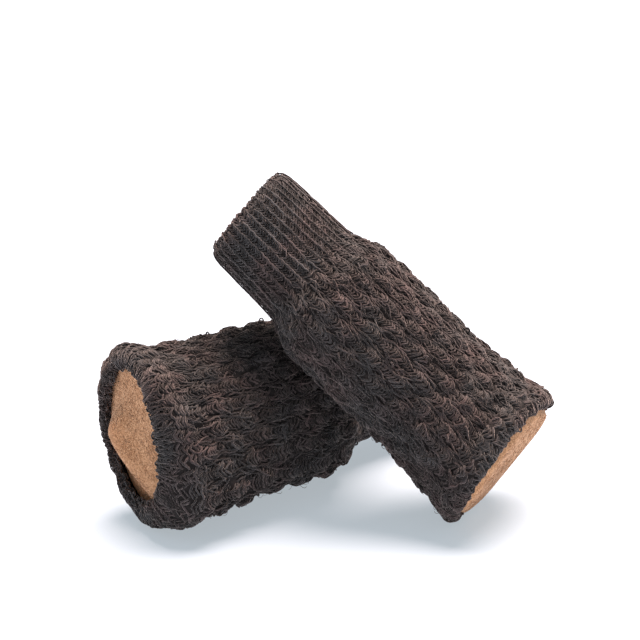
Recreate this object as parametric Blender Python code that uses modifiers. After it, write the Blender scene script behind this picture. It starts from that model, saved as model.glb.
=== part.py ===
"""A pair of knitted chair-leg socks with felt soles, one lying down and one leaning on it.

Metres, +Z up, the floor at z = 0 and the origin at the bottom centre of the pair's box.
Each sock is made on its own axis: local +Z runs from the felt end to the cuff, local X is the
wide way of its oval section and local Y the narrow way. Radii below are half widths the wide way.
"""

import math

import bmesh
import bpy
from mathutils import Matrix, Vector

# Driving dimensions of one sock
SOCK_LENGTH = 0.1020
BODY_RADIUS = 0.0236
OVALITY = 0.75
RIM_RADIUS = 0.0264
RIM_DEPTH = 0.009
RIM_FLARE = 0.0012
FLARE_END = 0.030
CUFF_RADIUS = 0.0179
CUFF_FLARE = 0.0004
CUFF_BASE = 0.0765
SHOULDER_START = 0.0655
SHOULDER_RADIUS = 0.0188

# Wall thicknesses and fits
SLEEVE_WALL = 0.0026
CUFF_WALL = 0.0016
LINER_WALL = 0.0012
ELASTIC_WALL = 0.0008
SOLE_THICKNESS = 0.0020
FILM_THICKNESS = 0.0004
PAD_THICKNESS = 0.0040
PAD_PROUD = 0.0005
PAD_EDGE_ROUND = 0.0010
GAP = 0.0003

# The elastic ring's place under the cuff's lip
ELASTIC_WIDTH = 0.0050
ELASTIC_BELOW_LIP = 0.0030

# How the two socks lie
LYING_DIP = math.atan2(RIM_RADIUS - BODY_RADIUS, SHOULDER_START - RIM_DEPTH / 2.0)
LYING_ROLL = math.radians(-14.0)
LEAN_ELEVATION = math.radians(40.4)
LEAN_HEADING = math.radians(117.7)
LEAN_ROLL = math.radians(-18.0)
LEAN_FOOT_X = 0.0790
LEAN_FOOT_Y = -0.0637

# Facets
SEGMENTS = 40
ROUND_STEPS = 6
WALL_STEPS = 4
SHOULDER_STEPS = 6
MERGE_DISTANCE = 1e-5

# Depths along the sock's axis, from the felt end inwards
PAD_BACK = PAD_THICKNESS - PAD_PROUD
FILM_FRONT = PAD_BACK + GAP
FILM_BACK = FILM_FRONT + FILM_THICKNESS
SOLE_FRONT = FILM_BACK + GAP
SOLE_BACK = SOLE_FRONT + SOLE_THICKNESS
LIP_UNDERSIDE = SOCK_LENGTH - CUFF_WALL

# Half widths of the nested layers
SLEEVE_BORE = BODY_RADIUS - SLEEVE_WALL
LINER_RADIUS = SLEEVE_BORE - GAP
LINER_BORE = LINER_RADIUS - LINER_WALL
RIM_BORE = LINER_RADIUS + GAP
PAD_RADIUS = RIM_BORE - GAP
SOLE_RADIUS = LINER_BORE - GAP
FILM_RADIUS = SOLE_RADIUS - GAP
CUFF_BORE = CUFF_RADIUS - CUFF_WALL
ELASTIC_RADIUS = CUFF_BORE - GAP
CUFF_LINER_RADIUS = ELASTIC_RADIUS - ELASTIC_WALL - GAP
MOUTH_RADIUS = CUFF_LINER_RADIUS - LINER_WALL


def clear_scene():
    for item in list(bpy.data.objects):
        bpy.data.objects.remove(item, do_unlink=True)


def make_material(name, colour, roughness):
    material = bpy.data.materials.new(name)
    material.use_nodes = True
    shader = material.node_tree.nodes["Principled BSDF"]
    shader.inputs["Base Color"].default_value = (*colour, 1.0)
    shader.inputs["Roughness"].default_value = roughness
    shader.inputs["Metallic"].default_value = 0.0
    return material


def smooth_step(t):
    t = min(max(t, 0.0), 1.0)
    return t * t * (3.0 - 2.0 * t)


def evenly(start, end, steps):
    return [start + (end - start) * i / steps for i in range(steps + 1)]


def arc(centre_radius, centre_height, radius, start_degrees, end_degrees, steps=ROUND_STEPS):
    """Points of an arc in an outline: (half width, height) pairs."""
    angles = [math.radians(a) for a in evenly(start_degrees, end_degrees, steps)]
    return [
        (centre_radius + radius * math.cos(a), centre_height + radius * math.sin(a))
        for a in angles
    ]


def turned_mesh(name, outline):
    """A closed outline of (half width, height) points, in the XZ plane, for a Screw modifier."""
    mesh = bpy.data.meshes.new(name)
    points = [(radius, 0.0, height) for radius, height in outline]
    edges = [(i, (i + 1) % len(points)) for i in range(len(points))]
    mesh.from_pydata(points, edges, [])
    return mesh


def oval_disc_mesh(name, radius, front, back):
    """A flat oval plate from one height to another."""
    bm = bmesh.new()
    bmesh.ops.create_cone(
        bm,
        cap_ends=True,
        segments=SEGMENTS,
        radius1=radius,
        radius2=radius,
        depth=back - front,
    )
    bmesh.ops.scale(bm, vec=(1.0, OVALITY, 1.0), verts=bm.verts)
    bmesh.ops.translate(bm, vec=(0.0, 0.0, (front + back) / 2.0), verts=bm.verts)
    mesh = bpy.data.meshes.new(name)
    bm.to_mesh(mesh)
    bm.free()
    return mesh


def sleeve_radius(height):
    """The body widens a little towards the rim and narrows at the shoulder to meet the cuff."""
    flare = RIM_FLARE * smooth_step((FLARE_END - height) / (FLARE_END - RIM_DEPTH))
    narrowing = smooth_step((height - SHOULDER_START) / (CUFF_BASE - SHOULDER_START))
    return BODY_RADIUS + flare + (SHOULDER_RADIUS - BODY_RADIUS) * narrowing


def liner_radius(height):
    """The lining leaves the body a little before the sleeve does and ends inside the cuff."""
    start = SHOULDER_START - SLEEVE_WALL
    end = CUFF_BASE - SLEEVE_WALL
    t = (height - start) / (end - start)
    return LINER_RADIUS + (CUFF_LINER_RADIUS - LINER_RADIUS) * smooth_step(t)


def wall_outline(heights, radius_at, thickness):
    """A wall's outline: down its outer side, then up its inner side."""
    outer = [(radius_at(height), height) for height in reversed(heights)]
    inner = [(radius_at(height) - thickness, height) for height in heights]
    return outer + inner


def sleeve_outline():
    flare = evenly(RIM_DEPTH + GAP, FLARE_END, WALL_STEPS)
    shoulder = evenly(SHOULDER_START, CUFF_BASE - GAP, SHOULDER_STEPS)
    return wall_outline(flare + shoulder, sleeve_radius, SLEEVE_WALL)


def liner_outline():
    shoulder = evenly(SHOULDER_START - SLEEVE_WALL, CUFF_BASE - SLEEVE_WALL, SHOULDER_STEPS)
    heights = [SOLE_FRONT] + shoulder + [LIP_UNDERSIDE - GAP]
    return wall_outline(heights, liner_radius, LINER_WALL)


def rim_outline():
    """A deep ring whose front edge is a half-round roll."""
    roll = (RIM_RADIUS - RIM_BORE) / 2.0
    middle = RIM_BORE + roll
    front = arc(middle, roll, roll, 0.0, -180.0)
    return [(RIM_RADIUS, RIM_DEPTH)] + front + [(RIM_BORE, RIM_DEPTH)]


def cuff_outline():
    """The cuff's wall, with a rounded lip turned in over the elastic and the lining."""
    corner = CUFF_WALL
    lip_radius = CUFF_RADIUS + CUFF_FLARE
    top = arc(lip_radius - corner, SOCK_LENGTH - corner, corner, 90.0, 0.0)
    return (
        [(MOUTH_RADIUS, SOCK_LENGTH)]
        + top
        + [(CUFF_RADIUS, CUFF_BASE), (CUFF_BORE, CUFF_BASE), (CUFF_BORE, LIP_UNDERSIDE)]
        + [(MOUTH_RADIUS, LIP_UNDERSIDE)]
    )


def elastic_outline():
    top = SOCK_LENGTH - ELASTIC_BELOW_LIP
    bottom = top - ELASTIC_WIDTH
    inner = ELASTIC_RADIUS - ELASTIC_WALL
    return [(ELASTIC_RADIUS, top), (ELASTIC_RADIUS, bottom), (inner, bottom), (inner, top)]


def add_part(name, mesh, material, parent, collection):
    part = bpy.data.objects.new(name, mesh)
    part.parent = parent
    if not mesh.materials:
        mesh.materials.append(material)
    collection.objects.link(part)
    return part


def add_turned_part(name, mesh, material, parent, collection):
    part = add_part(name, mesh, material, parent, collection)
    part.scale = (1.0, OVALITY, 1.0)
    screw = part.modifiers.new("Turn", "SCREW")
    screw.axis = "Z"
    screw.angle = math.tau
    screw.steps = SEGMENTS
    screw.render_steps = SEGMENTS
    screw.use_merge_vertices = True
    screw.merge_threshold = MERGE_DISTANCE
    return part


def add_round_edge(part, width):
    bevel = part.modifiers.new("Round edge", "BEVEL")
    bevel.width = width
    bevel.segments = 2
    bevel.limit_method = "ANGLE"
    bevel.angle_limit = math.radians(50.0)


def add_empty(name, parent, collection):
    empty = bpy.data.objects.new(name, None)
    empty.parent = parent
    empty.empty_display_size = SOCK_LENGTH / 5.0
    collection.objects.link(empty)
    return empty


def add_sock(prefix, meshes, materials, parent, collection):
    knit, lining, elastic = materials["knit"], materials["lining"], materials["elastic"]
    for piece, material in (
        ("outer_sleeve", knit),
        ("cuff_welt", knit),
        ("rim_roll", knit),
        ("inner_liner", lining),
        ("cuff_elastic", elastic),
    ):
        add_turned_part(f"{prefix}_{piece}", meshes[piece], material, parent, collection)
    add_part(f"{prefix}_sole_knit", meshes["sole_knit"], lining, parent, collection)
    add_part(f"{prefix}_adhesive_film", meshes["adhesive_film"], materials["film"], parent, collection)
    pad = add_part(f"{prefix}_felt_pad", meshes["felt_pad"], materials["felt"], parent, collection)
    add_round_edge(pad, PAD_EDGE_ROUND)


def sock_turn(axis, level_side, roll):
    """Rotation that takes local Z to the axis and local X to the side, rolled about the axis."""
    side = Matrix.Rotation(roll, 3, axis) @ level_side
    turn = Matrix((side, axis.cross(side), axis)).transposed()
    return turn.to_4x4()


def box_of(parts):
    bpy.context.view_layer.update()
    graph = bpy.context.evaluated_depsgraph_get()
    corners = []
    for part in parts:
        shown = part.evaluated_get(graph)
        corners += [part.matrix_world @ vertex.co for vertex in shown.data.vertices]
    low = Vector([min(corner[i] for corner in corners) for i in range(3)])
    high = Vector([max(corner[i] for corner in corners) for i in range(3)])
    return low, high


def stand_on_floor(sock):
    low, _ = box_of(sock.children)
    sock.location.z -= low.z


def build():
    clear_scene()
    collection = bpy.data.collections.new("chair_leg_socks")
    bpy.context.scene.collection.children.link(collection)
    materials = {
        "knit": make_material("dark_brown_knit", (0.040, 0.030, 0.028), 0.85),
        "lining": make_material("dark_brown_lining", (0.032, 0.025, 0.024), 0.9),
        "elastic": make_material("black_elastic", (0.015, 0.014, 0.014), 0.6),
        "film": make_material("adhesive_film", (0.75, 0.70, 0.58), 0.3),
        "felt": make_material("tan_felt", (0.445, 0.235, 0.133), 0.95),
    }
    meshes = {
        "outer_sleeve": turned_mesh("outer_sleeve", sleeve_outline()),
        "cuff_welt": turned_mesh("cuff_welt", cuff_outline()),
        "rim_roll": turned_mesh("rim_roll", rim_outline()),
        "inner_liner": turned_mesh("inner_liner", liner_outline()),
        "cuff_elastic": turned_mesh("cuff_elastic", elastic_outline()),
        "sole_knit": oval_disc_mesh("sole_knit", SOLE_RADIUS, SOLE_FRONT, SOLE_BACK),
        "adhesive_film": oval_disc_mesh("adhesive_film", FILM_RADIUS, FILM_FRONT, FILM_BACK),
        "felt_pad": oval_disc_mesh("felt_pad", PAD_RADIUS, -PAD_PROUD, PAD_BACK),
    }
    pair = add_empty("pair_origin", None, collection)

    lying = add_empty("lying_sock", pair, collection)
    lying_axis = Vector((math.cos(LYING_DIP), 0.0, -math.sin(LYING_DIP)))
    upward = Vector((math.sin(LYING_DIP), 0.0, math.cos(LYING_DIP)))
    lying.matrix_local = sock_turn(lying_axis, upward, LYING_ROLL)
    add_sock("lying", meshes, materials, lying, collection)
    stand_on_floor(lying)

    leaning = add_empty("leaning_sock", pair, collection)
    reach = math.cos(LEAN_ELEVATION)
    leaning_axis = Vector(
        (
            reach * math.cos(LEAN_HEADING),
            reach * math.sin(LEAN_HEADING),
            math.sin(LEAN_ELEVATION),
        )
    )
    level = Vector((-math.sin(LEAN_HEADING), math.cos(LEAN_HEADING), 0.0))
    leaning.matrix_local = sock_turn(leaning_axis, level, LEAN_ROLL)
    leaning.location = (LEAN_FOOT_X, LEAN_FOOT_Y, 0.0)
    add_sock("leaning", meshes, materials, leaning, collection)
    stand_on_floor(leaning)

    low, high = box_of(list(lying.children) + list(leaning.children))
    pair.location = (-(low.x + high.x) / 2.0, -(low.y + high.y) / 2.0, -low.z)
    bpy.context.view_layer.update()


build()
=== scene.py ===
"""Looks of a pair of knitted chair-leg socks: one lies on the floor, the other leans across it."""

import math

import bpy
import numpy as np
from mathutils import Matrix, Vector


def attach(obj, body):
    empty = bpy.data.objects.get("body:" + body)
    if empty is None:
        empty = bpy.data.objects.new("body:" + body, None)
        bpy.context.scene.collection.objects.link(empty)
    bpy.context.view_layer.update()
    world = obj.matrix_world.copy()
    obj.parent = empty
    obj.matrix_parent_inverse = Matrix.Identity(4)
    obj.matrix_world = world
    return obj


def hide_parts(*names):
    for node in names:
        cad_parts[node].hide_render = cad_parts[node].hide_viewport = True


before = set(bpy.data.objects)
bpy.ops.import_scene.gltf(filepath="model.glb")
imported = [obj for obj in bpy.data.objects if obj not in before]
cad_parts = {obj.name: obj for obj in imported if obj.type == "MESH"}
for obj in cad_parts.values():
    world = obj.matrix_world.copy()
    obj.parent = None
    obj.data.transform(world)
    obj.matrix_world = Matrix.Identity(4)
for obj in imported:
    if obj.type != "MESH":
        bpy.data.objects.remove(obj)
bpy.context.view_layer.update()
MM = 0.001
TAU = 2.0 * math.pi

# camera
CAMERA_AT = (-0.2911, -0.3079, 0.1894)
CAMERA_LOOKS_AT = (0.0214, 0.0344, 0.0419)
LENS_MM = 92.7
SENSOR_MM = 36.0

# body knit
BODY_COLUMNS = 26
BODY_ROW = 0.88 * MM
BUMP_PERIOD = 10.0 * MM
BUMP_DEPTH = 0.92 * MM
COLUMN_DEPTH = 0.50 * MM
BODY_YARN = 0.215 * MM
BODY_STEPS = 12
BODY_SIDES = 6
BODY_SINK = 0.55 * MM
BODY_UNEVEN = 0.26
BODY_GROUND_UNDER = 0.68 * MM
BODY_GROUND_BACK = 2.35 * MM
BODY_GROUND_ROWS = 110
FLOATS_PER_PLACE = 9
FLOATS_KEPT = 0.85
LOOSE_LOOPS = 130
STRAY_FIBRES = 420
# cuff knit
CUFF_COLUMNS = 38
CUFF_ROW = 0.92 * MM
CUFF_YARN = 0.235 * MM
CUFF_SPINE = 6.5 * MM
CUFF_SINK = 0.25 * MM
CUFF_GROUND_UNDER = 0.62 * MM
CUFF_GROUND_BACK = 1.35 * MM
CUFF_GROUND_ROWS = 60
CUFF_FLARE = 1.0 * MM
CUFF_TUCK = 1.5 * MM
# rim
RIM_COLUMNS = 42
RIM_ROW = 0.98 * MM
RIM_YARN = 0.31 * MM
RIM_SINK = 0.75 * MM
RIM_GROUND_UNDER = 0.62 * MM
RIM_GROUND_BACK = 2.1 * MM
RIM_GROUND_GRID = (150, 36)
RIM_CURLS = 150
RIM_STRANDS = 360
# lining
LINING_COLUMNS = 32
LINING_ROW = 1.15 * MM
LINING_YARN = 0.27 * MM
LINING_SINK = 0.3 * MM
LINING_GROUND_UNDER = 0.42 * MM
LINING_GROUND_BACK = 1.0 * MM
LINING_GROUND_ROWS = 150
LINING_KNIT_LENGTH = 42 * MM
# sole and glue
SOLE_ROW = 1.25 * MM
SOLE_COLUMN = 1.9 * MM
SOLE_YARN = 0.30 * MM
PLATE_GRID = 36
# felt
FELT_GRID = 110
FELT_FIBRES = 2300
FELT_WAVES = 26
# elastic: how deep its two faces lie under the cuff's outside
ELASTIC_DEPTHS = (1.42 * MM, 1.78 * MM)
ELASTIC_ROWS = 16

# nothing comes lower than this over the floor
FLOOR_CLEAR = 0.15 * MM
# how far apart, in the yarn's own length, two strands start in the material
STRAND_STEP = 11.3


# ---------------------------------------------------------------- small helpers
def unit(a):
    return a / np.maximum(np.linalg.norm(a, axis=-1, keepdims=True), 1e-12)


def smoothstep(low, high, x):
    t = np.clip((x - low) / (high - low), 0.0, 1.0)
    return t * t * (3.0 - 2.0 * t)


def node_points(name):
    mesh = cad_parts[name].data
    co = np.zeros(len(mesh.vertices) * 3)
    mesh.vertices.foreach_get("co", co)
    return co.reshape(-1, 3)


class Waves:
    """A smooth seeded function of a place round the sock and along it, about -1 to 1."""

    def __init__(self, rng, terms, around, along):
        self.a = rng.integers(-around, around + 1, terms)
        self.b = rng.uniform(-1.0, 1.0, terms) / along
        self.p = rng.uniform(0.0, TAU, terms)
        self.scale = 1.0 / math.sqrt(terms / 2.0)

    def __call__(self, s, v):
        total = 0.0
        for a, b, p in zip(self.a, self.b, self.p):
            total = total + np.cos(TAU * (a * s + b * v) + p)
        return total * self.scale * 0.6


# ---------------------------------------------------------------- each sock's own frame
class Sock:
    """Where a packed sock stands, read from its nodes, and the shape of its surfaces."""

    def __init__(self, name, seed):
        self.name = name
        self.rng = np.random.default_rng(seed)
        pad = node_points(name + "_felt_pad")
        rim = node_points(name + "_rim_roll")
        cuff = node_points(name + "_cuff_welt")
        self.axis = unit(cuff.mean(0) - rim.mean(0))
        centre = rim.mean(0)
        flat = pad - centre
        flat = flat - np.outer(flat @ self.axis, self.axis)
        reach = np.linalg.norm(flat, axis=1)
        self.wide = unit(flat[reach.argmax()])
        if self.wide[2] < 0.0:
            self.wide = -self.wide
        self.narrow = np.cross(self.axis, self.wide)
        self.oval = np.abs(flat @ self.narrow).max() / np.abs(flat @ self.wide).max()
        self.origin = centre + self.axis * ((rim - centre) @ self.axis).min()
        self.rings = {}
        angle = np.linspace(0.0, TAU, 2049)
        step = np.hypot(np.diff(np.cos(angle)), self.oval * np.diff(np.sin(angle)))
        length = np.concatenate([[0.0], np.cumsum(step)])
        self.girth = length[-1]
        self.turn_s = length / length[-1]
        self.turn_angle = angle
        self.slant = (0.0, 0.0)
        self.one_sided = False
        self.twist = self.tilt = self.slump = self.ridge = self.mouth = self.fall = self.settle = 0.0
        self.near = 1.0
        self.pushes = []
        self.sag = Waves(self.rng, 9, 3, 30 * MM)
        self.wander = Waves(self.rng, 9, 4, 22 * MM)
        self.phase = Waves(self.rng, 9, 5, 26 * MM)

    def local(self, points):
        rel = points - self.origin
        return np.stack([rel @ self.wide, rel @ self.narrow, rel @ self.axis], -1)

    def ring_radii(self, node, outer=True):
        """The turned node's radius at each height along the axis."""
        p = self.local(node_points(self.name + "_" + node))
        radius = np.hypot(p[:, 0], p[:, 1] / self.oval)
        level = np.round(p[:, 2], 5)
        heights = np.unique(level)
        pick = np.max if outer else np.min
        return heights, np.array([pick(radius[level == z]) for z in heights])

    def angle(self, s):
        return np.interp(np.mod(s, 1.0), self.turn_s, self.turn_angle)

    def world(self, x, y, z):
        """Local places to world points, with the felt end's slant and the other soft shapes."""
        lean = self.slant[0] * x + self.slant[1] * y
        if self.one_sided:
            lean = lean + self.ridge
            size = np.sqrt(lean**2 + (1.2 * MM) ** 2)
            lean = 0.5 * (lean + size) + self.fall * 0.5 * (size - lean) - 0.2 * MM
            lean = lean * (1.0 + self.twist * x) + self.tilt * (x - 3 * MM)
        mouth = self.mouth * x * smoothstep(72 * MM, 100 * MM, z)
        z = z + lean * (1.0 - smoothstep(6 * MM, 34 * MM, z)) + mouth
        if self.slump:
            x, y = self.slumped(x, y, z)
        shape = np.broadcast_shapes(np.shape(x), np.shape(y), np.shape(z))
        out = np.zeros(shape + (3,)) + self.origin
        for amount, way in ((x, self.wide), (y, self.narrow), (z, self.axis)):
            out += np.broadcast_to(amount, shape)[..., None] * way
        for centre, radius, move in self.pushes:
            near = np.exp(-(((out - centre) ** 2).sum(-1, keepdims=True)) / radius**2)
            out = out + near * move
        out[..., 2] -= self.settle * (1.0 - smoothstep(0.0, 20 * MM, out[..., 2]))
        return out

    def slumped(self, x, y, z):
        """The body's section squared off where it settles on the floor, on the side towards the camera."""
        size = np.hypot(x, y / self.oval) + 1e-9
        c, k = x / size, y / self.oval / size * self.near
        settled = smoothstep(-2 * MM, 8 * MM, z) * (1.0 - smoothstep(50 * MM, 70 * MM, z))
        power = 2.0 + self.slump * settled * smoothstep(0.0, 0.2, -c) * smoothstep(0.0, 0.2, k)
        square = (np.abs(c) ** power + np.abs(k) ** power) ** (-1.0 / power)
        fuller = 1.0 + 0.20 * settled * smoothstep(0.0, 0.6, k) * smoothstep(0.6, -0.3, c)
        return x * square, y * square * fuller

    def push(self, way, z, radius, move):
        """A soft dent or swelling, centred on the surface in a world direction from the axis."""
        way = np.array(way, float)
        way = unit(way - self.axis * (way @ self.axis))
        x, y = way @ self.wide, way @ self.narrow
        reach = 25 * MM / math.hypot(x, y / self.oval)
        self.pushes.append((self.origin + self.axis * z + way * reach, radius, np.array(move, float)))


class Surface:
    """A turned oval surface. Its profile is walked by length, from the felt end to the cuff."""

    def __init__(self, sock, profile):
        self.sock = sock
        r, z = np.array(profile, float).T
        length = np.concatenate([[0.0], np.cumsum(np.hypot(np.diff(r), np.diff(z)))])
        self.v = np.linspace(0.0, length[-1], 500)
        self.r = np.interp(self.v, length, r)
        self.z = np.interp(self.v, length, z)
        soft = np.hanning(17)
        soft /= soft.sum()
        for _ in range(2):
            self.r = np.convolve(np.pad(self.r, 8, "reflect", reflect_type="odd"), soft, "valid")
            self.z = np.convolve(np.pad(self.z, 8, "reflect", reflect_type="odd"), soft, "valid")
        dr, dz = np.gradient(self.r), np.gradient(self.z)
        size = np.maximum(np.hypot(dr, dz), 1e-12)
        self.nr, self.nz = dz / size, -dr / size
        self.length = self.v[-1]

    def radius(self, v):
        return np.interp(v, self.v, self.r)

    def height(self, v):
        return np.interp(v, self.v, self.z)

    def v_at_height(self, z):
        return float(self.v[np.abs(self.z - z).argmin()])

    def at(self, s, v, h):
        """World points and outward normals."""
        sock = self.sock
        angle = sock.angle(s)
        c, k = np.cos(angle), np.sin(angle)
        nx, ny = sock.oval * c, k
        size = np.hypot(nx, ny)
        nx, ny = nx / size, ny / size
        r, z = self.radius(v), self.height(v)
        nr, nz = np.interp(v, self.v, self.nr), np.interp(v, self.v, self.nz)
        x = r * c + h * nr * nx
        y = sock.oval * r * k + h * nr * ny
        points = sock.world(x, y, z + h * nz)
        shape = points.shape[:-1]
        normal = np.zeros(points.shape)
        for amount, way in ((nr * nx, sock.wide), (nr * ny, sock.narrow), (nz, sock.axis)):
            normal += np.broadcast_to(amount, shape)[..., None] * way
        return points, normal


# ---------------------------------------------------------------- meshes
def add_object(name, data):
    obj = bpy.data.objects.new(name, data)
    bpy.context.scene.collection.objects.link(obj)
    return obj


def make_object(name, points, polygons, uv=None):
    """A smooth mesh from its points and a list of (count, sides) vertex index arrays."""
    mesh = bpy.data.meshes.new(name)
    mesh.vertices.add(len(points))
    mesh.vertices.foreach_set("co", np.asarray(points, np.float32).ravel())
    corners = np.concatenate([p.ravel() for p in polygons]).astype(np.int32)
    totals = np.concatenate([np.full(len(p), p.shape[1]) for p in polygons])
    starts = np.concatenate([[0], np.cumsum(totals)[:-1]]).astype(np.int32)
    mesh.loops.add(len(corners))
    mesh.loops.foreach_set("vertex_index", corners)
    mesh.polygons.add(len(starts))
    mesh.polygons.foreach_set("loop_start", starts)
    mesh.polygons.foreach_set("use_smooth", np.ones(len(starts), bool))
    if uv is not None:
        layer = mesh.uv_layers.new(name="yarn")
        places = np.concatenate([u.reshape(-1, 2) for u in uv]).astype(np.float32)
        layer.data.foreach_set("uv", places.ravel())
    mesh.update(calc_edges=True)
    return add_object(name, mesh)


class Tubes:
    """Closed tubes of yarn, gathered until they become one mesh."""

    def __init__(self):
        self.points, self.quads, self.caps, self.uv_quads, self.uv_caps = [], [], [], [], []
        self.size, self.count = 0, 0

    def add(self, paths, normals, radius, sides, end):
        """Tubes along paths (tubes, places, 3); end is how much narrower their two ends are."""
        n, m, _ = paths.shape
        radius = np.broadcast_to(np.asarray(radius, float).reshape(-1, 1), (n, 1)) * np.ones((1, m))
        radius[:, 0] *= end
        radius[:, -1] *= end
        tangent = unit(np.gradient(paths, axis=1))
        side = unit(np.cross(tangent, normals))
        up = np.cross(side, tangent)
        low = FLOOR_CLEAR + radius
        paths = paths.copy()
        paths[..., 2] = np.maximum(paths[..., 2], low)
        phi = TAU * np.arange(sides) / sides
        ring = np.cos(phi)[:, None] * side[:, :, None] + np.sin(phi)[:, None] * up[:, :, None]
        points = paths[:, :, None] + radius[:, :, None, None] * ring
        index = self.size + np.arange(n * m * sides).reshape(n, m, sides)
        nxt = np.roll(index, -1, axis=2)
        quads = np.stack([index[:, :-1], index[:, 1:], nxt[:, 1:], nxt[:, :-1]], -1)
        step = np.linalg.norm(np.diff(paths, axis=1), axis=2)
        along = np.concatenate([np.zeros((n, 1)), np.cumsum(step, 1)], 1) / MM
        along = along + STRAND_STEP * (self.count + np.arange(n))[:, None]
        a = np.broadcast_to(along[:, :, None], (n, m, sides))
        k0 = np.broadcast_to(np.arange(sides) / sides, (n, m - 1, sides))
        k1 = k0 + 1.0 / sides
        near, far = a[:, :-1], a[:, 1:]
        corners = ((near, k0), (far, k0), (far, k1), (near, k1))
        uv = np.stack([np.stack(corner, -1) for corner in corners], -2)
        self.points.append(points.reshape(-1, 3))
        self.quads.append(quads.reshape(-1, 4))
        self.uv_quads.append(uv.reshape(-1, 4, 2))
        caps = np.concatenate([index[:, 0], index[:, -1, ::-1]])
        flat = np.zeros(caps.shape + (2,))
        flat[..., 0] = np.concatenate([along[:, 0], along[:, -1]])[:, None]
        self.caps.append(caps)
        self.uv_caps.append(flat)
        self.size += n * m * sides
        self.count += n

    def build(self, name):
        groups, uvs = {}, {}
        for group, uv in zip(self.quads + self.caps, self.uv_quads + self.uv_caps):
            groups.setdefault(group.shape[1], []).append(group)
            uvs.setdefault(group.shape[1], []).append(uv)
        sizes = sorted(groups)
        polygons = [np.concatenate(groups[k]) for k in sizes]
        uv = [np.concatenate(uvs[k]) for k in sizes]
        return make_object(name, np.concatenate(self.points), polygons, uv)


def shell(name, outer, inner):
    """A closed sleeve between two grids of points, each (round, along, 3)."""
    n, m, _ = outer.shape
    points = np.concatenate([outer.reshape(-1, 3), inner.reshape(-1, 3)])
    points[:, 2] = np.maximum(points[:, 2], FLOOR_CLEAR)
    a = np.arange(n * m).reshape(n, m)
    b = a + n * m
    an, bn = np.roll(a, -1, 0), np.roll(b, -1, 0)
    quads = [
        np.stack([a[:, :-1], an[:, :-1], an[:, 1:], a[:, 1:]], -1).reshape(-1, 4),
        np.stack([b[:, :-1], b[:, 1:], bn[:, 1:], bn[:, :-1]], -1).reshape(-1, 4),
        np.stack([a[:, 0], b[:, 0], bn[:, 0], an[:, 0]], -1),
        np.stack([a[:, -1], an[:, -1], bn[:, -1], b[:, -1]], -1),
    ]
    return make_object(name, points, quads)


# ---------------------------------------------------------------- materials
class Nodes:
    """A short way to write a material's node tree."""

    def __init__(self, name):
        self.material = bpy.data.materials.new(name)
        self.material.use_nodes = True
        self.tree = self.material.node_tree
        self.shader = self.tree.nodes["Principled BSDF"]

    def node(self, kind, **settings):
        made = self.tree.nodes.new("ShaderNode" + kind)
        for key, value in settings.items():
            setattr(made, key, value)
        return made

    def put(self, value, socket):
        if isinstance(value, bpy.types.NodeSocket):
            self.tree.links.new(value, socket)
        else:
            socket.default_value = value

    def math(self, operation, a, b=0.0):
        made = self.node("Math", operation=operation)
        self.put(a, made.inputs[0])
        self.put(b, made.inputs[1])
        return made.outputs[0]

    def level(self, value, scale, base):
        return self.math("ADD", self.math("MULTIPLY", value, scale), base)

    def weighted(self, *parts):
        total = self.math("MULTIPLY", *parts[0])
        for value, weight in parts[1:]:
            total = self.math("ADD", total, self.math("MULTIPLY", value, weight))
        return total

    def place(self):
        return self.node("TexCoord").outputs["Object"]

    def noise(self, vector, scale, detail, rough):
        made = self.node("TexNoise")
        self.put(vector, made.inputs["Vector"])
        self.put(scale, made.inputs["Scale"])
        self.put(detail, made.inputs["Detail"])
        self.put(rough, made.inputs["Roughness"])
        return made.outputs["Fac"]

    def scaled(self, vector, scale):
        made = self.node("Mapping")
        self.put(vector, made.inputs["Vector"])
        made.inputs["Scale"].default_value = scale
        return made.outputs["Vector"]

    def ramp(self, factor, stops):
        made = self.node("ValToRGB")
        self.put(factor, made.inputs["Fac"])
        band = made.color_ramp
        band.elements[0].position, band.elements[1].position = stops[0][0], stops[-1][0]
        band.elements[0].color = (*stops[0][1], 1.0)
        band.elements[1].color = (*stops[-1][1], 1.0)
        for place, colour in stops[1:-1]:
            band.elements.new(place).color = (*colour, 1.0)
        return made.outputs["Color"]

    def bump(self, height, distance, strength):
        made = self.node("Bump")
        self.put(height, made.inputs["Height"])
        made.inputs["Distance"].default_value = distance
        made.inputs["Strength"].default_value = strength
        return made.outputs["Normal"]

    def finish(self, **values):
        for name, value in values.items():
            self.put(value, self.shader.inputs[name.replace("_", " ")])
        return self.material


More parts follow.
